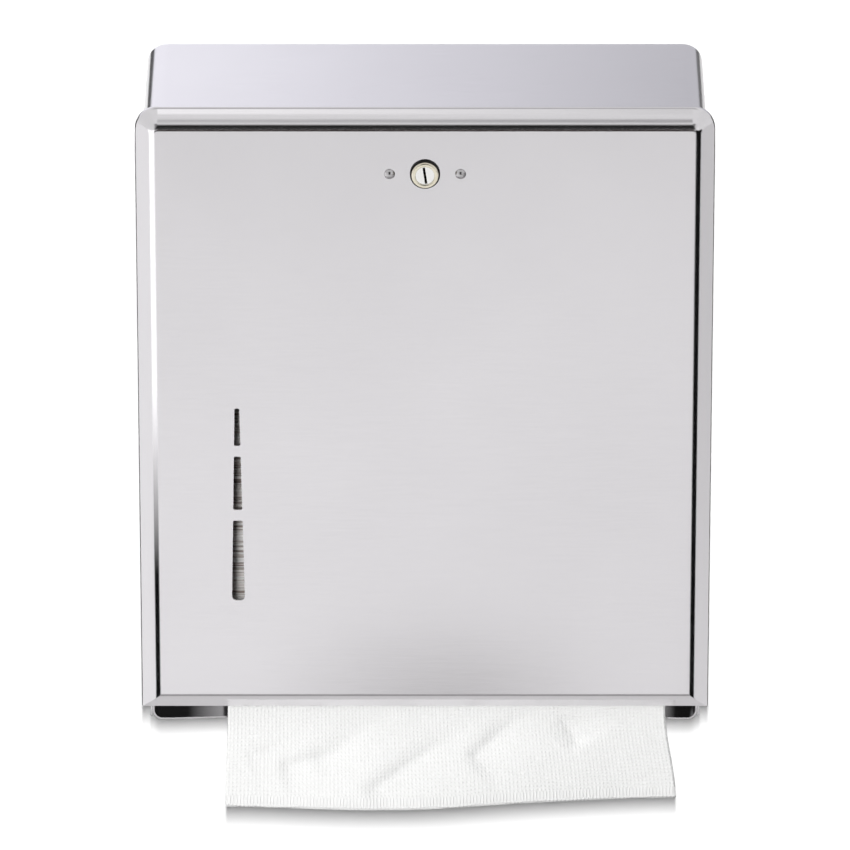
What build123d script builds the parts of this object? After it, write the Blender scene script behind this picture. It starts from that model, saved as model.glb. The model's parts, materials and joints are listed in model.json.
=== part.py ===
"""Wall-mounted dispenser for folded paper towels, with a lockable drop-down door.

Millimetres. The origin is the middle of the wall-screw pattern on the back face, +X is to the
right seen from the front, +Y points into the wall and +Z is up. A depth is measured backwards
from the flat face of the closed door, and a height upwards from the door's bottom edge.
"""

import os
from math import atan2, radians, tan

from build123d import *

# Overall sizes
cabinet_depth = 102.0
door_width = 289.0
door_height = 330.0
sheet = 0.9
overrun = 5.0

# Clearances
pin_fit = 0.05
lock_fit = 0.05
seat_gap = 0.3
swing_gap = 0.3

# Pressed door
rim_bevel_width = 8.0
rim_bevel_depth = 6.7
face_bend_radius = 6.0
rim_bend_radius = 2.0
rim_corner_radius = 11.5
rim_overhang = 4.0
door_pan_depth = 9.0

# Sight slots: one long taper, broken by two bridges
sight_slot_offset = 94.7
sight_slot_drop = 160.8
sight_slot_lengths = (20.4, 29.4, 44.3)
sight_slot_bridge = 6.1
sight_slot_top_width = 2.4
sight_slot_bottom_width = 6.5
sight_slot_corner = 0.7
sight_slot_end_round = 2.2

# Door hinge
hinge_depth = 11.5
hinge_height = 6.0
hinge_pin_radius = 2.0
hinge_head_radius = 4.0
hinge_head_thickness = 1.6
hinge_ear_radius = 4.5
hinge_tab_radius = 5.5
hinge_washer_radius = 3.8

# Cabinet shell
shell_corner_radius = 10.0
shell_bottom_drop = 10.5
latch_lip_height = 12.0
latch_lip_inset = 16.0

# Back panel and its wall holes
back_flange_depth = 12.0
wall_hole_radius = 3.2
wall_hole_spacing_x = 203.2
wall_hole_spacing_z = 228.6
mount_height = 165.0

# Bottom tray
tray_drop = 15.6
tray_setback = 24.0
tray_flange_height = 30.0
tray_bend_radius = 5.0
tray_scallop = 5.0
tray_scallop_inset = 10.0
tray_flange_round = 8.0

# Lock, its backing plate and its rivets
lock_drop = 33.0
lock_plate_width = 52.0
lock_plate_height = 24.0
lock_plate_thickness = 1.0
lock_plate_corner = 4.0
rivet_spacing = 35.4
rivet_head_radius = 2.75
rivet_head_height = 1.4
rivet_head_bevel = 1.0
rivet_shank_radius = 1.6
rivet_tail_radius = 2.4
rivet_tail_height = 1.0
trim_radius = 7.55
trim_thickness = 0.8
bezel_radius = 6.8
bezel_height = 1.8
bezel_bevel = 0.7
barrel_radius = 5.7
barrel_flat_width = 10.0
barrel_end_depth = 7.9
lock_washer_radius = 8.0
lock_washer_thickness = 0.7
lock_nut_flats = 14.0
lock_nut_thickness = 3.2

# Lock plug, wafers and cam
plug_head_radius = 4.75
plug_head_depth = 1.4
plug_head_recess = 0.25
plug_radius = 4.0
key_slot_width = 1.2
key_slot_height = 8.6
key_slot_tilt = 8.0
keyway_height = 6.2
keyway_depth = 10.0
wafer_count = 4
wafer_width = 5.2
wafer_thickness = 0.7
wafer_window = 1.6
wafer_pitch = 1.6
wafer_first_depth = 1.6
tenon_width = 5.6
cam_thickness = 1.6
cam_width = 12.0
cam_reach = 24.0
cam_tip_round = 3.0
cam_gap = 0.5
cam_washer_radius = 5.0
cam_washer_thickness = 0.8
cam_nut_flats = 8.0
cam_nut_thickness = 2.8
cam_stud_radius = 2.0
cam_stud_overhang = 0.8

# Towels
towel_side_room = 29.5
towel_offset = 11.2
stack_back_room = 4.2
stack_height = 236.0
stack_round = 4.0
leaf_thickness = 0.7
leaf_above = 54.0
leaf_straight = 9.0
leaf_hang = 59.0
leaf_flare_left = 8.0
leaf_flare_fold = 14.0
leaf_flare_right = 1.5
leaf_fold_share = 0.42
leaf_middle_share = 0.45

# Places worked out from the sizes above
door_bottom = -mount_height
door_top = door_bottom + door_height
shell_width = door_width - 2 * rim_overhang
shell_top = door_top - rim_overhang
shell_bottom = door_bottom - shell_bottom_drop
shell_front = hinge_depth - hinge_ear_radius
hinge_z = door_bottom + hinge_height
hinge_tab_root = hinge_depth - rim_bevel_depth - rim_bend_radius
stop_depth = hinge_depth + hinge_height + swing_gap
tray_bottom = door_bottom - tray_drop
tray_width = shell_width - 2 * sheet
tray_flange_top = tray_bottom + tray_flange_height
lock_z = door_top - lock_drop
plate_back = sheet + lock_plate_thickness
nut_front = plate_back + lock_washer_thickness
cam_front = shell_front + sheet + cam_gap
cam_back = cam_front + cam_thickness
bezel_front = -trim_thickness - bezel_height
plug_front = bezel_front + plug_head_recess
stack_bottom = tray_bottom + sheet + seat_gap
leaf_front = stop_depth + swing_gap + swing_gap
leaf_back = leaf_front + leaf_thickness
stack_front = leaf_back + seat_gap
stack_depth = cabinet_depth - sheet - stack_back_room - stack_front
towel_width = door_width - 2 * towel_side_room
bend_angle = atan2(rim_bevel_depth, rim_bevel_width)
face_turn = tan(bend_angle / 2)
rim_turn = tan((radians(90) - bend_angle) / 2)


def at_depth(depth):
    """The Y of a depth behind the door's face."""
    return depth - cabinet_depth


def front_plane(depth):
    """Upright plane at a depth, seen from the front: local x is X, local y is Z."""
    return Plane(origin=(0, at_depth(depth), 0), x_dir=(1, 0, 0), z_dir=(0, -1, 0))


def lock_plane(depth):
    """The same plane, centred on the lock."""
    return Plane(origin=(0, at_depth(depth), lock_z), x_dir=(1, 0, 0), z_dir=(0, -1, 0))


def hinge_plane(x):
    """Plane across the hinge axis, centred on it: local x is Y, local y is Z."""
    return Plane(origin=(x, at_depth(hinge_depth), hinge_z), x_dir=(0, 1, 0), z_dir=(1, 0, 0))


def arch_sketch(plane, width, top, bottom, corner):
    """Rectangle with rounded top corners, standing on a level line."""
    with BuildSketch(plane) as arch:
        with Locations((0, top)):
            Rectangle(width, top - bottom, align=(Align.CENTER, Align.MAX))
        fillet(arch.vertices().group_by(Axis.Y)[-1], corner)
    return arch.sketch


def door_blank(inset, length):
    """The door as a full block: sloped rim all round, drawn top corners, mitred bottom corners."""
    bevel_width = rim_bevel_width - inset + inset * face_turn
    bevel_depth = rim_bevel_depth - inset + inset * rim_turn
    outline = arch_sketch(
        front_plane(inset),
        door_width - 2 * inset,
        door_top - inset,
        door_bottom + inset,
        rim_corner_radius - inset,
    )
    with BuildPart() as blank:
        extrude(outline, amount=inset - length)
        face = blank.faces().sort_by(Axis.Y)[0]
        chamfer(face.edges(), length=bevel_width, length2=bevel_depth, reference=face)
        fillet(blank.faces().sort_by(Axis.Y)[0].edges(), face_bend_radius - inset)
        bend = at_depth(inset + bevel_depth)
        bend_edges = blank.edges().filter_by_position(Axis.Y, bend - pin_fit, bend + pin_fit)
        fillet(bend_edges, rim_bend_radius - inset)
    return blank.part


def sight_slot(top, bottom, top_width, bottom_width, end_round):
    """One tapered slot, rounded a little at its corners and more at a free lower end."""
    with BuildSketch(front_plane(0)) as slot:
        Polygon(
            (-sight_slot_offset - top_width / 2, top),
            (-sight_slot_offset + top_width / 2, top),
            (-sight_slot_offset + bottom_width / 2, bottom),
            (-sight_slot_offset - bottom_width / 2, bottom),
            align=None,
        )
        fillet(slot.vertices().group_by(Axis.Y)[-1], sight_slot_corner)
        fillet(slot.vertices().group_by(Axis.Y)[0], end_round)
    return slot.sketch


def sight_slots():
    """The three slots, cut from one long taper."""
    run = sum(sight_slot_lengths) + (len(sight_slot_lengths) - 1) * sight_slot_bridge
    taper = (sight_slot_bottom_width - sight_slot_top_width) / run
    start = 0
    slots = []
    for length in sight_slot_lengths:
        end = start + length
        slots.append(
            sight_slot(
                door_top - sight_slot_drop - start,
                door_top - sight_slot_drop - end,
                sight_slot_top_width + taper * start,
                sight_slot_top_width + taper * end,
                sight_slot_end_round if length == sight_slot_lengths[-1] else sight_slot_corner,
            )
        )
        start = end + sight_slot_bridge
    return slots


# Pressed door: a thin pan, open at the back, with a tab round the hinge pin on each side
door_block = door_blank(0, door_pan_depth)
door_hollow = door_blank(sheet, door_pan_depth + overrun)
slot_sketches = sight_slots()

with BuildPart() as front_door:
    add(door_block)
    add(door_hollow, mode=Mode.SUBTRACT)
    for side in (-1, 1):
        with BuildSketch(hinge_plane(side * (door_width / 2 - sheet))):
            Circle(hinge_tab_radius)
            Rectangle(hinge_tab_root, 2 * hinge_tab_radius, align=(Align.MAX, Align.CENTER))
            with Locations((-hinge_tab_root, 0)):
                Rectangle(
                    2 * hinge_tab_radius,
                    2 * hinge_tab_radius,
                    align=(Align.MIN, Align.CENTER),
                    mode=Mode.INTERSECT,
                )
        extrude(amount=side * sheet)
    with BuildSketch(lock_plane(0)):
        Circle(barrel_radius + lock_fit)
        Rectangle(barrel_flat_width + 2 * lock_fit, 2 * barrel_radius + overrun, mode=Mode.INTERSECT)
        with GridLocations(rivet_spacing, rivet_spacing, 2, 1):
            Circle(rivet_shank_radius + lock_fit)
    extrude(amount=-2 * sheet, mode=Mode.SUBTRACT)
    for slot_sketch in slot_sketches:
        extrude(slot_sketch, amount=-2 * sheet, mode=Mode.SUBTRACT)
    with BuildSketch(hinge_plane(0)):
        Circle(hinge_pin_radius + pin_fit)
    extrude(amount=door_width, both=True, mode=Mode.SUBTRACT)

# Cabinet shell: top and sides in one bent sheet, with a latch lip turned down at the top front
shell_outline = arch_sketch(
    front_plane(shell_front), shell_width, shell_top, shell_bottom, shell_corner_radius
)
shell_hollow = arch_sketch(
    front_plane(shell_front),
    shell_width - 2 * sheet,
    shell_top - sheet,
    shell_bottom,
    shell_corner_radius - sheet,
)

with BuildPart() as cabinet_shell:
    extrude(shell_outline, amount=shell_front - cabinet_depth)
    extrude(shell_hollow, amount=shell_front - cabinet_depth, mode=Mode.SUBTRACT)
    with BuildSketch(front_plane(shell_front)):
        with Locations((0, shell_top - sheet / 2)):
            Rectangle(
                shell_width - 2 * latch_lip_inset,
                latch_lip_height - sheet / 2,
                align=(Align.CENTER, Align.MAX),
            )
    extrude(amount=-sheet)
    with BuildSketch(hinge_plane(0)):
        with Locations((stop_depth - hinge_depth, 0)):
            Rectangle(
                stop_depth - shell_front + overrun,
                hinge_z - shell_bottom + overrun,
                align=(Align.MAX, Align.MAX),
            )
        Circle(hinge_ear_radius, mode=Mode.SUBTRACT)
        Circle(hinge_pin_radius + pin_fit)
    extrude(amount=shell_width, both=True, mode=Mode.SUBTRACT)

# Back panel: a shallow pan welded inside the shell, with the four wall-screw holes
back_outline = arch_sketch(
    front_plane(cabinet_depth),
    shell_width - 2 * sheet,
    shell_top - sheet,
    shell_bottom,
    shell_corner_radius - sheet,
)
back_hollow = arch_sketch(
    front_plane(cabinet_depth - sheet),
    shell_width - 4 * sheet,
    shell_top - 2 * sheet,
    shell_bottom,
    shell_corner_radius - 2 * sheet,
)

with BuildPart() as back_panel:
    extrude(back_outline, amount=back_flange_depth)
    extrude(back_hollow, amount=back_flange_depth, mode=Mode.SUBTRACT)
    with BuildSketch(front_plane(cabinet_depth - sheet)):
        with Locations((0, tray_flange_top + seat_gap)):
            Rectangle(shell_width, tray_flange_height, align=(Align.CENTER, Align.MAX))
    extrude(amount=back_flange_depth, mode=Mode.SUBTRACT)
    with BuildSketch(front_plane(cabinet_depth)):
        with GridLocations(wall_hole_spacing_x, wall_hole_spacing_z, 2, 2):
            Circle(wall_hole_radius)
    extrude(amount=sheet, mode=Mode.SUBTRACT)

# Bottom tray: a pan open at the front, its front edge hollowed in a shallow arc
tray_length = cabinet_depth - sheet - tray_setback
scallop_end = tray_width / 2 - tray_scallop_inset

with BuildPart() as towel_tray:
    with BuildSketch(front_plane(tray_setback)) as tray_outline:
        with Locations((0, tray_bottom)):
            Rectangle(tray_width, tray_flange_height, align=(Align.CENTER, Align.MIN))
        fillet(tray_outline.vertices().group_by(Axis.Y)[0], tray_bend_radius)
    extrude(amount=-tray_length)
    with BuildSketch(front_plane(tray_setback)) as tray_hollow:
        with Locations((0, tray_bottom + sheet)):
            Rectangle(tray_width - 2 * sheet, tray_flange_height, align=(Align.CENTER, Align.MIN))
        fillet(tray_hollow.vertices().group_by(Axis.Y)[0], tray_bend_radius - sheet)
    extrude(amount=sheet - tray_length, mode=Mode.SUBTRACT)
    front_corners = towel_tray.edges().filter_by(Axis.X).group_by(Axis.Z)[-1].group_by(Axis.Y)[0]
    fillet(front_corners, tray_flange_round)
    with BuildSketch(Plane.XY.offset(tray_bottom)):
        with BuildLine():
            ThreePointArc(
                (-scallop_end, at_depth(tray_setback)),
                (0, at_depth(tray_setback + tray_scallop)),
                (scallop_end, at_depth(tray_setback)),
            )
            Line((scallop_end, at_depth(tray_setback)), (-scallop_end, at_depth(tray_setback)))
        make_face()
    extrude(amount=2 * sheet, both=True, mode=Mode.SUBTRACT)

# Hinge: a headed pin through each side and a spacer between the side and the door
shell_inner = shell_width / 2 - sheet


def hinge_pin(side):
    """Pin with its head inside the shell, ending flush with the door's flange."""
    with BuildPart() as pin:
        with BuildSketch(hinge_plane(side * (shell_inner - hinge_head_thickness))):
            Circle(hinge_head_radius)
        extrude(amount=side * hinge_head_thickness)
        with BuildSketch(hinge_plane(side * shell_inner)):
            Circle(hinge_pin_radius)
        extrude(amount=side * (door_width / 2 - shell_inner))
    return pin


def hinge_washer(side):
    """Spacer ring round the pin, against the shell's outside."""
    with BuildPart() as washer:
        with BuildSketch(hinge_plane(side * shell_width / 2)):
            Circle(hinge_washer_radius)
            Circle(hinge_pin_radius + pin_fit, mode=Mode.SUBTRACT)
        extrude(amount=side * (rim_overhang - sheet - 2 * pin_fit))
    return washer


hinge_pin_left = hinge_pin(-1)
hinge_pin_right = hinge_pin(1)
hinge_washer_left = hinge_washer(-1)
hinge_washer_right = hinge_washer(1)

# Lock backing plate and the two rivets that hold it
with BuildPart() as lock_plate:
    with BuildSketch(lock_plane(sheet)):
        RectangleRounded(lock_plate_width, lock_plate_height, lock_plate_corner)
        Circle(barrel_radius + lock_fit, mode=Mode.SUBTRACT)
        with GridLocations(rivet_spacing, rivet_spacing, 2, 1):
            Circle(rivet_shank_radius + lock_fit, mode=Mode.SUBTRACT)
    extrude(amount=-lock_plate_thickness)

with BuildPart() as lock_plate_rivets:
    with BuildSketch(lock_plane(0)):
        with GridLocations(rivet_spacing, rivet_spacing, 2, 1):
            Circle(rivet_head_radius)
    extrude(amount=rivet_head_height)
    chamfer(lock_plate_rivets.faces().group_by(Axis.Y)[0].edges(), rivet_head_bevel)
    with BuildSketch(lock_plane(0)):
        with GridLocations(rivet_spacing, rivet_spacing, 2, 1):
            Circle(rivet_shank_radius)
    extrude(amount=-plate_back)
    with BuildSketch(lock_plane(plate_back)):
        with GridLocations(rivet_spacing, rivet_spacing, 2, 1):
            Circle(rivet_tail_radius)
    extrude(amount=-rivet_tail_height)

# Lock: ring under the bezel, barrel with flats, washer and nut behind the plate
with BuildPart() as lock_trim_ring:
    with BuildSketch(lock_plane(0)):
        Circle(trim_radius)
        Circle(barrel_radius + lock_fit, mode=Mode.SUBTRACT)
    extrude(amount=trim_thickness)

with BuildPart() as lock_barrel:
    with BuildSketch(lock_plane(-trim_thickness)):
        Circle(bezel_radius)
    extrude(amount=bezel_height)
    chamfer(lock_barrel.faces().sort_by(Axis.Y)[0].edges(), bezel_bevel)
    with BuildSketch(lock_plane(-trim_thickness)):
        Circle(barrel_radius)
        Rectangle(barrel_flat_width, 2 * barrel_radius + overrun, mode=Mode.INTERSECT)
    extrude(amount=-trim_thickness - barrel_end_depth)
    with BuildSketch(lock_plane(bezel_front)):
        Circle(plug_head_radius + lock_fit)
    extrude(amount=-plug_head_recess - plug_head_depth - lock_fit, mode=Mode.SUBTRACT)
    with BuildSketch(lock_plane(bezel_front)):
        Circle(plug_radius + lock_fit)
    extrude(amount=bezel_front - barrel_end_depth - overrun, mode=Mode.SUBTRACT)

with BuildPart() as lock_washer:
    with BuildSketch(lock_plane(plate_back)):
        Circle(lock_washer_radius)
        Circle(barrel_radius + lock_fit, mode=Mode.SUBTRACT)
    extrude(amount=-lock_washer_thickness)

with BuildPart() as lock_nut:
    with BuildSketch(lock_plane(nut_front)):
        RegularPolygon(lock_nut_flats / 2, 6, major_radius=False)
        Circle(barrel_radius + lock_fit, mode=Mode.SUBTRACT)
    extrude(amount=-lock_nut_thickness)

# Lock plug: head, body with keyway and wafer slots, square tenon and threaded stud
with BuildPart() as lock_plug:
    with BuildSketch(lock_plane(plug_front)):
        Circle(plug_head_radius)
    extrude(amount=-plug_head_depth)
    with BuildSketch(lock_plane(plug_front)):
        Circle(plug_radius)
    extrude(amount=plug_front - cam_front)
    with BuildSketch(lock_plane(cam_front)):
        Rectangle(tenon_width, tenon_width)
    extrude(amount=-cam_thickness)
    with BuildSketch(lock_plane(cam_back)):
        Circle(cam_stud_radius)
    extrude(amount=-cam_washer_thickness - cam_nut_thickness - cam_stud_overhang)
    with BuildSketch(lock_plane(plug_front)):
        Rectangle(key_slot_width, key_slot_height, rotation=key_slot_tilt)
    extrude(amount=-plug_head_depth, mode=Mode.SUBTRACT)
    with BuildSketch(lock_plane(plug_front)):
        Rectangle(key_slot_width, keyway_height, rotation=key_slot_tilt)
    extrude(amount=-keyway_depth, mode=Mode.SUBTRACT)
    for wafer in range(wafer_count):
        with BuildSketch(lock_plane(wafer_first_depth + wafer * wafer_pitch - lock_fit)):
            Rectangle(wafer_width + 2 * lock_fit, 2 * plug_radius + overrun, rotation=key_slot_tilt)
        extrude(amount=-wafer_thickness - 2 * lock_fit, mode=Mode.SUBTRACT)

with BuildPart() as lock_wafers:
    for wafer in range(wafer_count):
        with BuildSketch(lock_plane(wafer_first_depth + wafer * wafer_pitch)):
            Circle(plug_radius - lock_fit)
            Rectangle(wafer_width, 2 * plug_radius, rotation=key_slot_tilt, mode=Mode.INTERSECT)
            Rectangle(wafer_window, keyway_height, rotation=key_slot_tilt, mode=Mode.SUBTRACT)
        extrude(amount=-wafer_thickness)

# Cam on the plug's tenon, with its washer and nut: sideways at rest, up behind the lip when locked
with BuildPart() as lock_cam:
    with BuildSketch(lock_plane(cam_front)) as cam_outline:
        Rectangle(cam_reach, cam_width, align=(Align.MAX, Align.CENTER))
        fillet(cam_outline.vertices().group_by(Axis.X)[0], cam_tip_round)
        Circle(cam_width / 2)
        Rectangle(tenon_width + 2 * lock_fit, tenon_width + 2 * lock_fit, mode=Mode.SUBTRACT)
    extrude(amount=-cam_thickness)

with BuildPart() as cam_washer:
    with BuildSketch(lock_plane(cam_back)):
        Circle(cam_washer_radius)
        Circle(cam_stud_radius + lock_fit, mode=Mode.SUBTRACT)
    extrude(amount=-cam_washer_thickness)

with BuildPart() as cam_nut:
    with BuildSketch(lock_plane(cam_back + cam_washer_thickness)):
        RegularPolygon(cam_nut_flats / 2, 6, major_radius=False)
        Circle(cam_stud_radius + lock_fit, mode=Mode.SUBTRACT)
    extrude(amount=-cam_nut_thickness)

# Stack of folded towels, standing on the tray
with BuildPart() as towel_stack:
    with BuildSketch(Plane.XY.offset(stack_bottom)):
        with Locations((towel_offset, at_depth(stack_front))):
            Rectangle(towel_width, stack_depth, align=(Align.CENTER, Align.MIN))
    extrude(amount=stack_height)
    fillet(towel_stack.edges().filter_by(Axis.X).group_by(Axis.Z)[-1], stack_round)


def leaf_level(height, share):
    """A level cut through the hanging leaf, with a share of its flare at the lower edge."""
    left = towel_offset - towel_width / 2
    right = towel_offset + towel_width / 2
    fold = left + leaf_fold_share * towel_width
    near = at_depth(leaf_front)
    far = at_depth(leaf_back)
    stations = [(left, leaf_flare_left), (fold, leaf_flare_fold), (right, leaf_flare_right)]
    front = [(x, near - share * flare) for x, flare in stations]
    back = [(x, far - share * flare) for x, flare in stations]
    with BuildSketch(Plane.XY.offset(height)) as level:
        with BuildLine():
            if share:
                ThreePointArc(*front)
                ThreePointArc(*back)
            else:
                Line(front[0], front[-1])
                Line(back[0], back[-1])
            Line(front[0], back[0])
            Line(front[-1], back[-1])
        make_face()
    return level.sketch


# Hanging leaf: straight in front of the stack and behind the door, then swelling forward to its lower edge
leaf_levels = [
    leaf_level(door_bottom + leaf_above, 0),
    leaf_level(door_bottom - leaf_straight, 0),
    leaf_level(door_bottom - (leaf_straight + leaf_hang) / 2, leaf_middle_share),
    leaf_level(door_bottom - leaf_hang, 1),
]

with BuildPart() as towel_sheet:
    loft(leaf_levels, ruled=True)

pieces = {
    "cabinet_shell": cabinet_shell,
    "back_panel": back_panel,
    "towel_tray": towel_tray,
    "hinge_pin_left": hinge_pin_left,
    "hinge_pin_right": hinge_pin_right,
    "hinge_washer_left": hinge_washer_left,
    "hinge_washer_right": hinge_washer_right,
    "towel_stack": towel_stack,
    "front_door": front_door,
    "lock_plate": lock_plate,
    "lock_plate_rivets": lock_plate_rivets,
    "lock_trim_ring": lock_trim_ring,
    "lock_barrel": lock_barrel,
    "lock_washer": lock_washer,
    "lock_nut": lock_nut,
    "lock_plug": lock_plug,
    "lock_wafers": lock_wafers,
    "lock_cam": lock_cam,
    "cam_washer": cam_washer,
    "cam_nut": cam_nut,
    "towel_sheet": towel_sheet,
}

os.makedirs("parts", exist_ok=True)
for name, piece in pieces.items():
    piece.part.label = name
    export_step(piece.part, f"parts/{name}.step")
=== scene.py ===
import json
import math

import bpy
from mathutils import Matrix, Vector


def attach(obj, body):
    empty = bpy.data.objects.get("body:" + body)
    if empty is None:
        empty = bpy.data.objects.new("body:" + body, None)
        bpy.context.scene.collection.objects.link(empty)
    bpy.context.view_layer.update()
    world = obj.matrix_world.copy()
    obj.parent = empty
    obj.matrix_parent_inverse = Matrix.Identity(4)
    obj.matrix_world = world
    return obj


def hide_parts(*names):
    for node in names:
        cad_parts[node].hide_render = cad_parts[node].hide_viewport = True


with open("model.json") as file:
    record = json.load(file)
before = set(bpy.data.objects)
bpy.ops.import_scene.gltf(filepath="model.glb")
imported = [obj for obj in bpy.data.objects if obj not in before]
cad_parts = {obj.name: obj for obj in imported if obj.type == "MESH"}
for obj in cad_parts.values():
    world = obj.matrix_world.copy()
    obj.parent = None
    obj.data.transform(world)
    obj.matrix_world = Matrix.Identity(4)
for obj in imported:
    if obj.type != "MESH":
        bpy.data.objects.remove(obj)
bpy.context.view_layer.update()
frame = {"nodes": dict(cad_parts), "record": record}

nodes = frame["nodes"]
scene = bpy.context.scene
scene.view_settings.view_transform = "Standard"


# Shader helpers

class NodeTree:
    """A tree of shader nodes and short ways to add to it."""

    def __init__(self, tree):
        self.tree = tree

    def add(self, kind, **values):
        node = self.tree.nodes.new("ShaderNode" + kind)
        for key, value in values.items():
            setattr(node, key, value)
        return node

    def link(self, output, target):
        self.tree.links.new(output, target)

    def feed(self, socket, value):
        """A number goes on the socket itself, an output is linked to it."""
        if isinstance(value, (int, float)):
            socket.default_value = value
        else:
            self.link(value, socket)

    def math(self, operation, *values):
        node = self.add("Math", operation=operation)
        for socket, value in zip(node.inputs, values):
            self.feed(socket, value)
        return node.outputs[0]

    def weighted(self, first, *others):
        """The sum of (value, weight) pairs."""
        total = self.math("MULTIPLY", *first)
        for pair in others:
            total = self.math("ADD", total, self.math("MULTIPLY", *pair))
        return total

    def ranged(self, value, low, high, to_low, to_high):
        node = self.add("MapRange")
        self.link(value, node.inputs["Value"])
        limits = {"From Min": low, "From Max": high, "To Min": to_low, "To Max": to_high}
        for key, number in limits.items():
            node.inputs[key].default_value = number
        return node.outputs["Result"]

    def mix(self, factor, a, b):
        node = self.add("Mix", data_type="FLOAT")
        for index, value in zip((0, 2, 3), (factor, a, b)):
            self.feed(node.inputs[index], value)
        return node.outputs[0]

    def split(self, vector):
        """The X, Y and Z outputs of a vector."""
        node = self.add("SeparateXYZ")
        self.link(vector, node.inputs[0])
        return node.outputs

    def texture_place(self, kind):
        return self.add("TexCoord").outputs[kind]


class Shader(NodeTree):
    """A material around one Principled shader."""

    def __init__(self, name, **sockets):
        self.material = bpy.data.materials.new(name)
        self.material.use_nodes = True
        super().__init__(self.material.node_tree)
        self.bsdf = self.tree.nodes["Principled BSDF"]
        for key, value in sockets.items():
            self.bsdf.inputs[key.replace("_", " ")].default_value = value

    def drive(self, **sockets):
        """Link outputs to sockets of the Principled shader."""
        for key, output in sockets.items():
            self.link(output, self.bsdf.inputs[key.replace("_", " ")])

    def show(self, surface):
        self.link(surface, self.tree.nodes["Material Output"].inputs["Surface"])

    def show_front(self, surface):
        """The surface on the front, and nothing from behind."""
        node = self.add("MixShader")
        self.link(self.add("NewGeometry").outputs["Backfacing"], node.inputs[0])
        self.link(surface, node.inputs[1])
        self.link(self.add("BsdfTransparent").outputs[0], node.inputs[2])
        self.show(node.outputs[0])

    def ramp(self, value, *stops):
        node = self.add("ValToRGB")
        elements = node.color_ramp.elements
        while len(elements) < len(stops):
            elements.new(0.5)
        for element, (position, colour) in zip(elements, stops):
            element.position = position
            element.color = (*colour, 1)
        self.link(value, node.inputs["Fac"])
        return node.outputs["Color"]

    def tinted(self, factor, colour, other):
        """A colour output that turns into one fixed colour."""
        node = self.add("Mix", data_type="RGBA")
        self.link(factor, node.inputs[0])
        self.link(colour, node.inputs[6])
        node.inputs[7].default_value = (*other, 1)
        return node.outputs[2]

    def scaled(self, scale):
        """Places on the piece, scaled along its axes."""
        mapping = self.add("Mapping")
        mapping.inputs["Scale"].default_value = scale
        self.link(self.texture_place("Object"), mapping.inputs["Vector"])
        return mapping.outputs["Vector"]

    def noise(self, scale, detail):
        """Noise with so many cells to a metre along X, Y and Z."""
        node = self.add("TexNoise")
        node.inputs["Scale"].default_value = 1.0
        node.inputs["Detail"].default_value = detail
        node.inputs["Roughness"].default_value = 0.6
        self.link(self.scaled(scale), node.inputs["Vector"])
        return node.outputs["Fac"]

    def even_noise(self, scale, detail):
        return self.noise((scale, scale, scale), detail)

    def facing(self, axis, *limits):
        """A range of how squarely a place faces along an axis of the piece, either way."""
        normal = self.split(self.texture_place("Normal"))
        return self.ranged(self.math("ABSOLUTE", normal[axis]), *limits)

    def bump(self, height, strength, distance, normal=None):
        node = self.add("Bump")
        node.inputs["Strength"].default_value = strength
        node.inputs["Distance"].default_value = distance
        self.link(height, node.inputs["Height"])
        if normal is not None:
            self.link(normal, node.inputs["Normal"])
        return node.outputs["Normal"]

    def eased(self, radius):
        """The normal with sharp edges eased."""
        bevel = self.add("Bevel", samples=4)
        bevel.inputs["Radius"].default_value = radius
        return bevel.outputs["Normal"]

    def edge_share(self, eased):
        """How near a place is to an eased edge."""
        dot = self.add("VectorMath", operation="DOT_PRODUCT")
        self.link(eased, dot.inputs[0])
        self.link(self.add("NewGeometry").outputs["Normal"], dot.inputs[1])
        return self.ranged(dot.outputs["Value"], 0.995, 0.85, 0, 1)


# Materials, with lengths in metres

# Most noise lies between these two values
noise_low, noise_high = 0.3, 0.7
sheet_edge = 0.00035
turned_edge = 0.00025
plug_edge = 0.0002
fine_relief = 0.0001


def brushed_steel(name, dark, light, rough_low, rough_high):
    """Sheet metal with a fine grain along X, or along Z on its sides, and a painted highlight along eased
    edges.
    """
    s = Shader(name, Metallic=1.0)
    along_x = s.noise((60, 2200, 2200), 4)
    along_z = s.noise((2200, 2200, 60), 4)
    streaks = s.mix(s.facing("X", 0.55, 0.75, 0, 1), along_x, along_z)
    clouds = s.even_noise(9, 2)
    speckle = s.noise((700, 1800, 1800), 2)
    tone = s.weighted((streaks, 0.5), (clouds, 0.3), (speckle, 0.2))
    normal = s.eased(sheet_edge)
    colour = s.ramp(tone, (noise_low, dark), (noise_high, light))
    # Painted highlight: the base colour is lightened towards eased edges
    s.drive(
        Base_Color=s.tinted(s.edge_share(normal), colour, (0.85, 0.85, 0.86)),
        Roughness=s.ranged(streaks, noise_low, noise_high, rough_low, rough_high),
        Normal=s.bump(tone, 0.05, fine_relief, normal),
    )
    return s.material


def plated(name, dark, light, rough):
    """Small turned or stamped metal with faint clouding and eased edges."""
    s = Shader(name, Metallic=1.0)
    clouds = s.even_noise(260, 4)
    fine = s.even_noise(2400, 2)
    normal = s.eased(turned_edge)
    clouded = s.ranged(clouds, noise_low, noise_high, rough, rough * 1.6)
    polished = s.math("MULTIPLY", s.edge_share(normal), rough * 0.4)
    s.drive(
        Base_Color=s.ramp(clouds, (noise_low, dark), (noise_high, light)),
        Roughness=s.math("SUBTRACT", clouded, polished),
        Normal=s.bump(fine, 0.02, fine_relief, normal),
    )
    return s.material


def matt(name, dark, light, rough, sheen=0.5):
    """Moulded nylon, paint or plain paper: soft mottling and a fine texture."""
    s = Shader(name, Specular_IOR_Level=sheen)
    clouds = s.even_noise(300, 3)
    fine = s.even_noise(1800, 2)
    s.drive(
        Base_Color=s.ramp(clouds, (noise_low, dark), (noise_high, light)),
        Roughness=s.ranged(fine, noise_low, noise_high, rough * 0.85, rough * 1.1),
        Normal=s.bump(fine, 0.1, fine_relief, s.eased(turned_edge)),
    )
    return s.material


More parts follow.
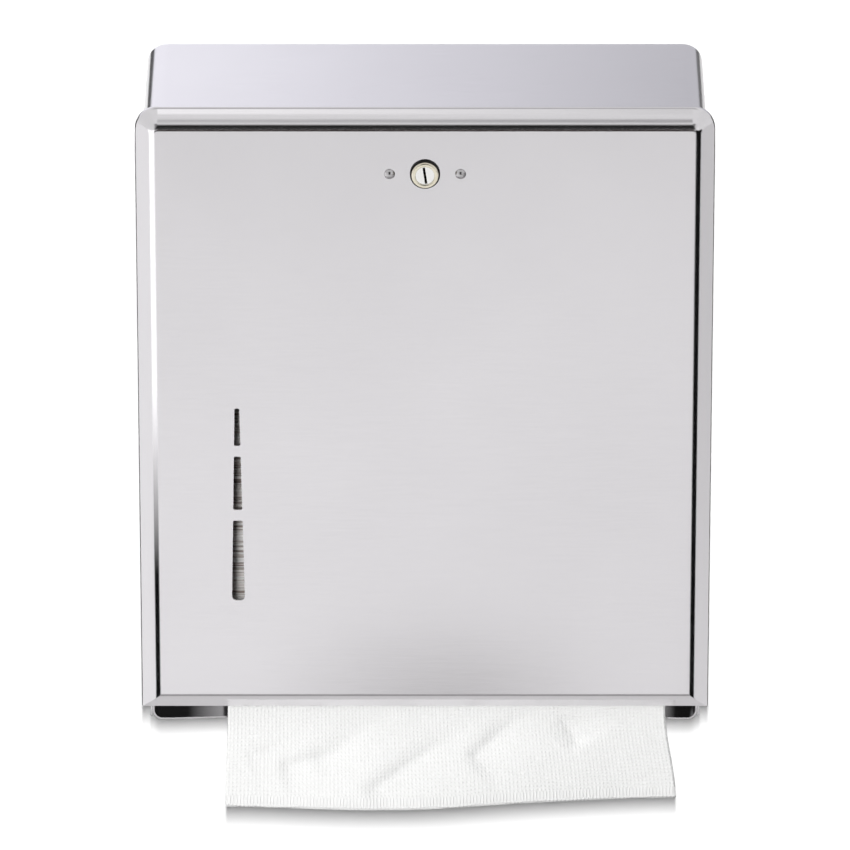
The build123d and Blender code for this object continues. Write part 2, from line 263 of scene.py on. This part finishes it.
def folded_edges(name):
    """Warm white paper seen edge on: thin dark lines of painted shade between uneven folds, plain paper on
    top.
    """
    s = Shader(name, Roughness=0.95, Specular_IOR_Level=0.2)
    wide = s.ranged(s.noise((1.5, 1.5, 420), 2), 0.38, 0.58, 0.4, 1)
    thin = s.ranged(s.noise((4, 4, 1500), 3), 0.41, 0.53, 0, 1)
    fibres = s.noise((500, 500, 900), 3)
    upright = s.facing("Z", 0.93, 0.99, 1, 0)
    # Painted shade: dark lines between the folds on the sides, none on the top
    shade_lines = s.mix(upright, 1.0, s.math("MULTIPLY", thin, wide))
    tone = s.weighted((shade_lines, 0.8), (fibres, 0.2))
    gap_shade, fold, sheet = (0.30, 0.25, 0.225), (0.76, 0.725, 0.70), (0.86, 0.85, 0.84)
    s.drive(
        Base_Color=s.ramp(tone, (0.1, gap_shade), (0.5, fold), (0.9, sheet)),
        Normal=s.bump(tone, 0.4, 0.0003),
    )
    return s.material


def embossed_paper(name):
    """Soft white paper: rows of small raised dots and a band of ticks along the lower edge."""
    dot_pitch, tick_pitch, waviness = 0.0040, 0.0017, 0.006
    s = Shader(name, Roughness=0.95, Specular_IOR_Level=0.25)
    flat = s.split(s.texture_place("UV"))
    across, up = flat["X"], flat["Y"]
    clouds = s.even_noise(45, 3)
    fibres = s.even_noise(900, 4)
    wavy = s.math("ADD", up, s.math("MULTIPLY", clouds, waviness))

    def wave(place, pitch):
        return s.math("SINE", s.math("MULTIPLY", place, 2 * math.pi / pitch))

    rising = wave(s.math("ADD", across, wavy), dot_pitch)
    falling = wave(s.math("SUBTRACT", across, wavy), dot_pitch)
    dots = s.math("MAXIMUM", s.math("MULTIPLY", rising, falling), 0.0)
    ticks = s.math("MAXIMUM", wave(across, tick_pitch), 0.0)
    band_low = s.ranged(up, 0.0015, 0.0022, 0, 1)
    band_high = s.ranged(up, 0.0056, 0.0064, 1, 0)
    raised = s.mix(s.math("MULTIPLY", band_low, band_high), dots, ticks)
    tone = s.weighted((clouds, 0.5), (fibres, 0.3), (raised, 0.25))
    s.drive(
        Base_Color=s.ramp(tone, (0.2, (0.80, 0.80, 0.795)), (0.7, (0.86, 0.86, 0.855))),
        Normal=s.bump(s.weighted((raised, 1.0), (fibres, 0.35)), 0.6, 0.0004),
    )
    return s.material


def key_plug(name):
    """Plated plug face, with painted shade: dark and dull inside its key slot."""
    plug_face, slot_floor = -0.10425, -0.1041
    s = Shader(name)
    # Painted shade: the key slot is coloured near black and dull by its depth
    painted_slot_shade = s.ranged(s.split(s.texture_place("Object"))["Y"], plug_face, slot_floor, 0, 1)
    clouds = s.even_noise(300, 4)
    plate = s.ramp(clouds, (noise_low, (0.94, 0.935, 0.915)), (noise_high, (0.98, 0.975, 0.96)))
    plate_rough = s.ranged(clouds, noise_low, noise_high, 0.12, 0.2)
    s.drive(
        Base_Color=s.tinted(painted_slot_shade, plate, (0.012, 0.009, 0.007)),
        Metallic=s.ranged(painted_slot_shade, 0, 1, 1, 0),
        Roughness=s.mix(painted_slot_shade, plate_rough, 0.8),
        Normal=s.eased(plug_edge),
    )
    return s.material


finishes = {
    "satin_steel": brushed_steel("satin_steel", (0.72, 0.704, 0.725), (0.80, 0.783, 0.805), 0.13, 0.18),
    "zinc_steel": plated("zinc_steel", (0.52, 0.53, 0.55), (0.66, 0.67, 0.69), 0.28),
    "rivet_steel": plated("rivet_steel", (0.46, 0.45, 0.46), (0.56, 0.55, 0.56), 0.09),
    "lock_plating": plated("lock_plating", (0.78, 0.725, 0.58), (0.88, 0.835, 0.70), 0.10),
    "wafer_brass": plated("wafer_brass", (0.66, 0.48, 0.2), (0.8, 0.62, 0.3), 0.25),
    "dark_trim": matt("dark_trim", (0.008, 0.008, 0.008), (0.02, 0.019, 0.018), 0.4, sheen=0.12),
    "nylon": matt("nylon", (0.72, 0.72, 0.68), (0.82, 0.82, 0.79), 0.5),
    "towel_paper": matt("towel_paper", (0.80, 0.80, 0.795), (0.84, 0.84, 0.835), 0.9),
}
leaf_paper = embossed_paper("embossed_paper")
stack_paper = folded_edges("folded_edges")
for part in frame["record"]["subparts"]:
    node = nodes[part["node"]]
    node.data.materials.clear()
    node.data.materials.append(finishes[part["material_slot"]])
nodes["lock_plug"].data.materials[0] = key_plug("plug_plate")


# New pieces, in millimetres: depth behind the door's face and height above its bottom edge

wall_depth = 102
origin_height = 165


def metres(x, depth, height):
    """A place in the shared frame."""
    return (x / 1000, (depth - wall_depth) / 1000, (height - origin_height) / 1000)


def make_piece(name, points, faces, material, body):
    mesh = bpy.data.meshes.new(name)
    mesh.from_pydata([metres(*point) for point in points], [], faces)
    mesh.polygons.foreach_set("use_smooth", [True] * len(mesh.polygons))
    mesh.materials.append(material)
    mesh.validate()
    obj = bpy.data.objects.new(name, mesh)
    scene.collection.objects.link(obj)
    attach(obj, body)
    return obj


def strip_faces(rows, columns, closed=False):
    """Quads of a grid of points, row by row, closed round each row if asked."""
    faces = []
    for row in range(rows - 1):
        for column in range(columns if closed else columns - 1):
            after = (column + 1) % columns
            faces.append((
                row * columns + column, row * columns + after,
                (row + 1) * columns + after, (row + 1) * columns + column,
            ))
    return faces


def arc(centre, radius, start, end, steps):
    """Profile points on an arc, with angles in degrees from the outward direction to the front."""
    points = []
    for step in range(steps + 1):
        angle = math.radians(start + (end - start) * step / steps)
        across, front = radius * math.cos(angle), radius * math.sin(angle)
        points.append((centre[0] + across, centre[1] - front))
    return points


lock_height = 297.0


def turned(name, profile, offsets, steps, slot):
    """A piece of the door, turned at the lock's height; the profile runs (radius, depth)."""
    points, faces = [], []
    for offset in offsets:
        start = len(points)
        for radius, depth in profile:
            for step in range(steps):
                angle = 2 * math.pi * step / steps
                x, height = radius * math.cos(angle), radius * math.sin(angle)
                points.append((offset + x, depth, lock_height + height))
        for face in strip_faces(len(profile), steps, True):
            faces.append(tuple(start + corner for corner in face))
    return make_piece(name, points, faces, finishes[slot], "door")


# Domed rivets beside the lock, with shanks and tails
rivet_offset = 17.7
rivet_rise = 1.5
dome_radius = 2.95
near_axis = 0.02
dome = arc((0, dome_radius - rivet_rise), dome_radius, 90, 30, 12)
rivet_profile = (
    [(near_axis, -rivet_rise)] + dome[1:]
    + [(2.75, -0.05), (2.75, 0.0), (1.6, 0.0), (1.6, 1.9)]
    + [(2.4, 1.9), (2.4, 2.6), (2.0, 2.9), (near_axis, 2.9)]
)
rivets = turned("domed_rivets", rivet_profile, (-rivet_offset, rivet_offset), 48, "rivet_steel")
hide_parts("lock_plate_rivets")

# Rounded bezel lip over the barrel's head
bezel_profile = (
    [(6.84, -0.85), (6.84, -1.9)]
    + arc((6.15, -2.12), 0.55, 10, 90, 6)
    + arc((5.3, -2.2), 0.47, 90, 180, 6)
    + [(4.83, -2.0)]
)
turned("lock_bezel", bezel_profile, (0,), 64, "lock_plating")

# Black collar round the bezel
collar_profile = (
    [(7.4, 0.0)] + arc((7.35, -1.0), 0.2, 0, 90, 5)
    + [(6.96, -1.2), (6.9, -1.1), (6.9, -0.8), (6.5, -0.8), (6.5, 0.0), (7.4, 0.0)]
)
collar = turned("lock_collar", collar_profile, (0,), 64, "dark_trim")
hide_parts("lock_trim_ring")


# Stack of folded towels: thin bulging layers, seen through the sight slots

def wobble(*seeds):
    """A steady irregular number from -1 to 1."""
    total = sum((index + 1) * 12.9898 * seed for index, seed in enumerate(seeds))
    return 2 * (math.sin(total) * 43758.5453 % 1) - 1


stack_left, stack_right = -103.8, 126.2
stack_near, stack_far = 19.5, 96.8
stack_low, stack_top = -14.3, 221.6
layer_count = 168
layer_thickness = (stack_top - stack_low) / layer_count
# Each layer's edge: share of its thickness, and how far it draws back there
layer_edge = ((0.06, 0.9), (0.3, 0.15), (0.5, 0.0), (0.7, 0.12), (0.94, 0.85))
stack_columns = 14

rings = []
for layer in range(layer_count):
    inset = 0.55 + 0.5 * wobble(layer, 3)
    sag = 0.35 * wobble(layer, 7)
    for share, drawn in layer_edge:
        height = stack_low + layer * layer_thickness + share * layer_thickness
        rings.append((height, inset + drawn * 0.7, sag))

points = []
for height, inset, sag in rings:
    # The low corners are tucked in behind the hanging leaf
    tuck = 4.6 * min(max((18 - height) / 12, 0), 1)
    left = stack_left + inset * 0.4 + 0.8 * tuck
    right = stack_right - inset * 0.4 - tuck
    shares = [column / (stack_columns - 1) for column in range(stack_columns)]
    for share in shares:
        ripple = 0.18 * math.sin(9 * share + 3 * sag + height * 0.05)
        rise = 0.12 * math.sin(5 * share + 8 * sag)
        x = left + (right - left) * share
        points.append((x, stack_near + inset + ripple + 0.3, height + rise))
    for share in shares:
        x = left + (right - left) * (1 - share)
        points.append((x, stack_far - inset * 0.8, height))
ring_points = 2 * stack_columns
faces = strip_faces(len(rings), ring_points, True)
faces.append(tuple(reversed(range(ring_points))))
faces.append(tuple((len(rings) - 1) * ring_points + index for index in range(ring_points)))
stack = make_piece("folded_towels", points, faces, stack_paper, "cabinet")
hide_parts("towel_stack")


# Hanging leaf: creased, swelling forward below the door

leaf_width, leaf_length = 0.230, 0.113
leaf_thickness = 0.0003
leaf_top = 54.0
leaf_depth = 18.7
leaf_columns, leaf_rows = 150, 76
gentle_side = 26.0
# Start and end as (x, height), depth, and width of the steep side
creases = (
    ((-14, -6), (-54, -35), 1.4, 15.0),
    ((-34, -29), (-72, -37.5), 2.0, 8.0),
    ((26, -15), (-27, -48.5), 2.5, 10.0),
    ((54, -8), (24.5, -33), 2.4, 9.0),
    ((67, -7), (78, -27), 2.2, 10.0),
    ((-66, -24), (-90, -33), 0.8, 7.0),
)


def mixed(value, *stops):
    """A smooth curve through (place, value) stops, flat beyond the ends."""
    for (low, low_value), (high, high_value) in zip(stops, stops[1:]):
        if value <= high:
            share = min(max((value - low) / (high - low), 0), 1)
            return low_value + (high_value - low_value) * share * share * (3 - 2 * share)
    return stops[-1][1]


def crease_push(x, height):
    """How far the creases bring a place forward: each is a sharp valley, steep on one side."""
    push = 0
    for (x0, h0), (x1, h1), depth, steep in creases:
        run = math.hypot(x1 - x0, h1 - h0)
        along = ((x - x0) * (x1 - x0) + (height - h0) * (h1 - h0)) / run
        across = ((x - x0) * (h1 - h0) - (height - h0) * (x1 - x0)) / run
        fade = mixed(along / run, (-0.1, 0), (0.7, 1), (0.93, 0.9), (1.12, 0))
        width = steep * (1.25 - 0.5 * along / run) if across > 0 else gentle_side
        share = max(1 - abs(across) / max(width, 2.0), 0)
        push -= depth * fade * share ** 1.7
    return push


def leaf_point(share, fall):
    """A place on the leaf: share across from the left, fall down from its top edge."""
    low = mixed(share, (0, -59.4), (0.365, -59.0), (0.7, -57.2), (1, -57.4))
    height = leaf_top + (low - leaf_top) * fall
    left = mixed(-height, (-40, -103.8), (6.7, -101.0), (59, -102.3))
    right = mixed(-height, (-40, 126.2), (6.7, 123.0), (59, 129.1))
    x = left + (right - left) * share
    flare = mixed(share, (0, 7.0), (0.365, 13.0), (1, 1.0))
    forward = flare * mixed(-height, (7, 0), (62, 1))
    out = mixed(-height, (5, 0), (14, 1), (54, 1), (60, 0.5))
    bow = 0.5 * math.sin(2 * math.pi * (1.5 * share + 0.1)) * mixed(-height, (5, 0), (30, 1))
    depth = leaf_depth - forward - out * crease_push(x, height) - bow
    deepest = 18.9 if height > -12 else 21.0
    return x, min(depth, deepest), height


points, flat = [], []
for row in range(leaf_rows):
    fall = row / (leaf_rows - 1)
    for column in range(leaf_columns):
        share = column / (leaf_columns - 1)
        points.append(leaf_point(share, fall))
        flat.append((share * leaf_width, (1 - fall) * leaf_length))
faces = strip_faces(leaf_rows, leaf_columns)
leaf = make_piece("hanging_towel", points, faces, leaf_paper, "towel")
flat_layer = leaf.data.uv_layers.new(name="flat")
for loop in leaf.data.loops:
    flat_layer.data[loop.index].uv = flat[loop.vertex_index]
solid = leaf.modifiers.new("thickness", "SOLIDIFY")
solid.thickness = leaf_thickness
solid.offset = 0
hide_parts("towel_sheet")


# Floor and wall, in metres

floor_level = -0.295
wall_place = 0.001
half = 20


def stage_mesh(name, corners, material):
    mesh = bpy.data.meshes.new(name)
    mesh.from_pydata(corners, [], [tuple(range(len(corners)))])
    mesh.materials.append(material)
    obj = bpy.data.objects.new(name, mesh)
    scene.collection.objects.link(obj)
    return obj


def stage_white(name, level):
    """Dull white that can be lifted a little by its own light."""
    white = (level, level, level, 1)
    return Shader(
        name, Base_Color=white, Roughness=1.0, Specular_IOR_Level=0.0, Emission_Color=(1, 1, 1, 1),
    )


# Painted reflection: how much darker the floor is made where only the metal sees it, by Y; under the
# cabinet it is a painted shadow
dim_start, dim_end = -2.0, 0.5
dim_by_y = (
    (-1.8, 1.0), (-1.45, 0.14), (-1.1, 0.11), (-0.6, 0.02), (-0.34, 0.0),
    (-0.29, 0.7), (-0.22, 0.7), (-0.18, 0.3), (0.1, 0.3), (0.4, 0.0),
)
s = stage_white("floor_white", 0.93)
rays = s.add("LightPath").outputs
s.drive(Emission_Strength=s.weighted((rays["Is Camera Ray"], 0.12), (rays["Is Glossy Ray"], 0.06)))
spot = s.split(s.texture_place("Object"))
aside = s.math("ABSOLUTE", spot["X"])
stops = (((y - dim_start) / (dim_end - dim_start), (dim, dim, dim)) for y, dim in dim_by_y)
band = s.ramp(s.ranged(spot["Y"], dim_start, dim_end, 0.0, 1.0), *stops)
painted_shadow_under = s.ranged(aside, 0.18, 0.26, 1.0, 0.0)
ahead = s.math("MULTIPLY", s.ranged(aside, 0.6, 1.2, 1.0, 0.0), s.ranged(spot["Y"], -1.4, -1.3, 1.0, 0.0))
painted_reflection_dark = s.math("MULTIPLY", band, s.math("MAXIMUM", painted_shadow_under, ahead))
painted_reflection_dark = s.math("MAXIMUM", painted_reflection_dark, s.ranged(spot["X"], -0.2, 0.9, 0.0, 0.3))
# A soft dark place painted on the floor, which the door's lower middle shows as a painted reflection
away = s.add("VectorMath", operation="DISTANCE")
s.link(s.scaled((8.5, 7.0, 0)), away.inputs[0])
away.inputs[1].default_value = (0.12, -2.66, 0)
painted_reflection_dark = s.math("MAXIMUM", painted_reflection_dark, s.ranged(away.outputs["Value"], 0.0, 1.0, 0.42, 0.0))
# Painted reflection: glossy rays see this near-black floor where the mask above says
painted_dark_floor = s.add("BsdfDiffuse")
painted_dark_floor.inputs["Color"].default_value = (0.04, 0.032, 0.03, 1)
either = s.add("MixShader")
s.link(s.math("MULTIPLY", painted_reflection_dark, rays["Is Glossy Ray"]), either.inputs[0])
s.link(s.bsdf.outputs[0], either.inputs[1])
s.link(painted_dark_floor.outputs[0], either.inputs[2])
s.show_front(either.outputs[0])
floor = stage_mesh(
    "floor", [(-half, -half, 0), (half, -half, 0), (half, half, 0), (-half, half, 0)], s.material,
)
floor.location.z = floor_level

# Wall behind the cabinet, white as the floor, seen from its front only
s = stage_white("wall_white", 0.8)
s.drive(Emission_Strength=s.math("MULTIPLY", s.add("LightPath").outputs["Is Camera Ray"], 0.05))
s.show_front(s.bsdf.outputs[0])
wall_ends = ((-half, floor_level), (half, floor_level), (half, half), (-half, half))
wall = stage_mesh("wall", [(x, wall_place, z) for x, z in wall_ends], s.material)
wall.visible_glossy = False
wall.visible_diffuse = floor.visible_diffuse = False


# Room: white to the camera, an even grey for the paper, and lit by direction for the metal

world = bpy.data.worlds.new("studio")
scene.world = world
world.use_nodes = True
room = NodeTree(world.node_tree)
background = room.tree.nodes["Background"]
background.inputs["Strength"].default_value = 1.0
direction = room.split(room.texture_place("Generated"))
behind = room.ranged(direction["Y"], -0.15, 0.4, 0.015, 0.62)
above = room.ranged(direction["Z"], 0.61, 0.74, 0.0, 0.86)
overhead = room.math("MULTIPLY", above, room.ranged(direction["Z"], 0.9, 0.97, 1.0, 0.65))
beside = room.ranged(room.math("ABSOLUTE", direction["X"]), 0.2, 0.42, 0.0, 0.82)
mirrored = room.math("MAXIMUM", room.math("MAXIMUM", behind, overhead), beside)
mirrored = room.math("ADD", mirrored, room.ranged(direction["Z"], 0.15, 0.35, 0.03, 0.0))
rays = room.add("LightPath").outputs
unseen = room.mix(rays["Is Glossy Ray"], 0.3, mirrored)
room.link(room.mix(rays["Is Camera Ray"], unseen, 1.0), background.inputs["Color"])


# Lamps

def lamp(name, kind, spot, energy, receivers, link_state, **values):
    """A lamp with chosen receivers; the metal mirrors the room and the panels in its place."""
    light = bpy.data.lights.new(name, kind)
    light.energy = energy
    for key, value in values.items():
        setattr(light, key, value)
    obj = bpy.data.objects.new(name, light)
    obj.location = spot
    obj.visible_glossy = False
    scene.collection.objects.link(obj)
    group = bpy.data.collections.new(name + "_lit")
    for receiver in receivers:
        group.objects.link(receiver)
    for entry in group.collection_objects:
        entry.light_linking.link_state = link_state
    obj.light_linking.receiver_collection = group
    return obj


def aimed(obj, target):
    """Turn a lamp or camera to look at a place."""
    obj.rotation_euler = (Vector(target) - obj.location).to_track_quat("-Z", "Y").to_euler()


def panel_lamp(name, spot, target, energy, receivers, link_state, width, height):
    size = {"shape": "RECTANGLE", "size": width, "size_y": height}
    aimed(lamp(name, "AREA", spot, energy, receivers, link_state, **size), target)


stage_target, part_target = (0, -0.05, -0.1), (0, -0.08, -0.1)
not_lit = (floor, wall, stack)
panel_lamp("wall_light", (0, -4.486, 2.207), stage_target, 300, (wall,), "INCLUDE", 0.06, 0.48)
floor_light = lamp("floor_light", "SUN", (0, -3.05, 1.55), 4.6, (floor,), "INCLUDE", angle=0.07)
aimed(floor_light, stage_target)
panel_lamp("softbox_left", (-2.2, -2.0, 0.5), part_target, 80, not_lit, "EXCLUDE", 0.8, 0.8)
panel_lamp("softbox_right", (1.6, -1.9, 0.4), part_target, 21, not_lit, "EXCLUDE", 0.8, 0.8)
panel_lamp("slot_light", (-0.46, -3.0, 1.2), part_target, 58, (stack,), "INCLUDE", 0.45, 0.45)


# Panels that only show in the metal: glows and dark edges

def card(name, corners, strength, axis="X", tint=(1, 1, 1)):
    """A panel of one strength, or with a strength that is ranged along an axis."""
    s = Shader(name)
    glow = s.add("Emission")
    glow.inputs["Color"].default_value = (*tint, 1)
    if isinstance(strength, tuple):
        strength = s.ranged(s.split(s.texture_place("Object"))[axis], *strength)
    s.feed(glow.inputs["Strength"], strength)
    s.show(glow.outputs[0])
    obj = stage_mesh(name, corners, s.material)
    obj.visible_camera = obj.visible_diffuse = False
    obj.visible_shadow = obj.visible_transmission = False


def cross_card(name, x, y, z, strength, tint=(1, 1, 1)):
    """A panel from the left to the right x, leaning from the first y and z to the second."""
    (left, right), (y0, y1), (z0, z1) = x, y, z
    corners = [(left, y0, z0), (right, y0, z0), (right, y1, z1), (left, y1, z1)]
    card(name, corners, strength, tint=tint)


def side_card(name, side, strength):
    """An upright panel close to one side bend of the door."""
    near, far = (side * 0.146, -0.1453), (side * 0.177, -0.1228)
    low, high = -0.24, 0.155
    card(name, [(*near, low), (*far, low), (*far, high), (*near, high)], strength, "Z")


# Behind the cabinet, for its top and the top's bends
cool = (0.97, 0.97, 1.03)
cross_card("glow_back", (-1.1, 1.1), (0.5, 0.6), (0.1, 0.8), (-0.15, 0.15, 1.1, 0.65), cool)
cross_card("edge_back_left", (-0.9, -0.2), (0.48, 0.48), (0.065, 0.185), 0.1)
cross_card("edge_back_right", (0.2, 0.9), (0.48, 0.48), (0.065, 0.17), 0.17)

# Beside the rim's outer edge
rim_y, rim_z = (-0.0903, -0.0903), (-0.168, 0.162)
cross_card("edge_left", (-0.157, -0.1452), rim_y, rim_z, 0.02)
cross_card("edge_right", (0.1452, 0.157), rim_y, rim_z, 0.05)

# Inside the tray's ends
tray_y, tray_z = (-0.05, -0.05), (-0.178, -0.13)
cross_card("tray_glow", (-0.1385, -0.104), tray_y, tray_z, (-0.122, -0.105, 0.012, 0.35))
cross_card("tray_glow_right", (0.118, 0.1385), tray_y, tray_z, (0.121, 0.129, 0.3, 0.008))

# Over the slope of the door's top rim
rim_x = (-0.134, 0.134)
cross_card("rim_glow", rim_x, (-0.0992, -0.1019), (0.1724, 0.1692), (-0.13, 0.13, 1.16, 0.80))
cross_card("rim_shade", rim_x, (-0.1036, -0.1047), (0.1671, 0.1657), (-0.13, 0.13, 0.62, 0.46))

# Beside the door's face: dark, with a bright upper part at the left, and a glint at the top right
side_card("flag_right", 1, 0.004)
spark_corners = [(0.28, -0.565, 0.03), (0.495, -0.44, 0.24), (0.437, -0.466, 0.318), (0.222, -0.592, 0.104)]
card("spark_right", spark_corners, 1.0)
side_card("flag_left", -1, (-0.105, -0.002, 0.004, 1.5))


# Camera

aim = Vector((0, -0.052, -0.027))
reach = 5.0
rise = math.radians(23.95)
camera_data = bpy.data.cameras.new("camera")
camera_data.sensor_width = 36
camera_data.lens = 415.8
camera = bpy.data.objects.new("camera", camera_data)
camera.location = aim + reach * Vector((0, -math.cos(rise), math.sin(rise)))
aimed(camera, aim)
scene.collection.objects.link(camera)
scene.camera = camera
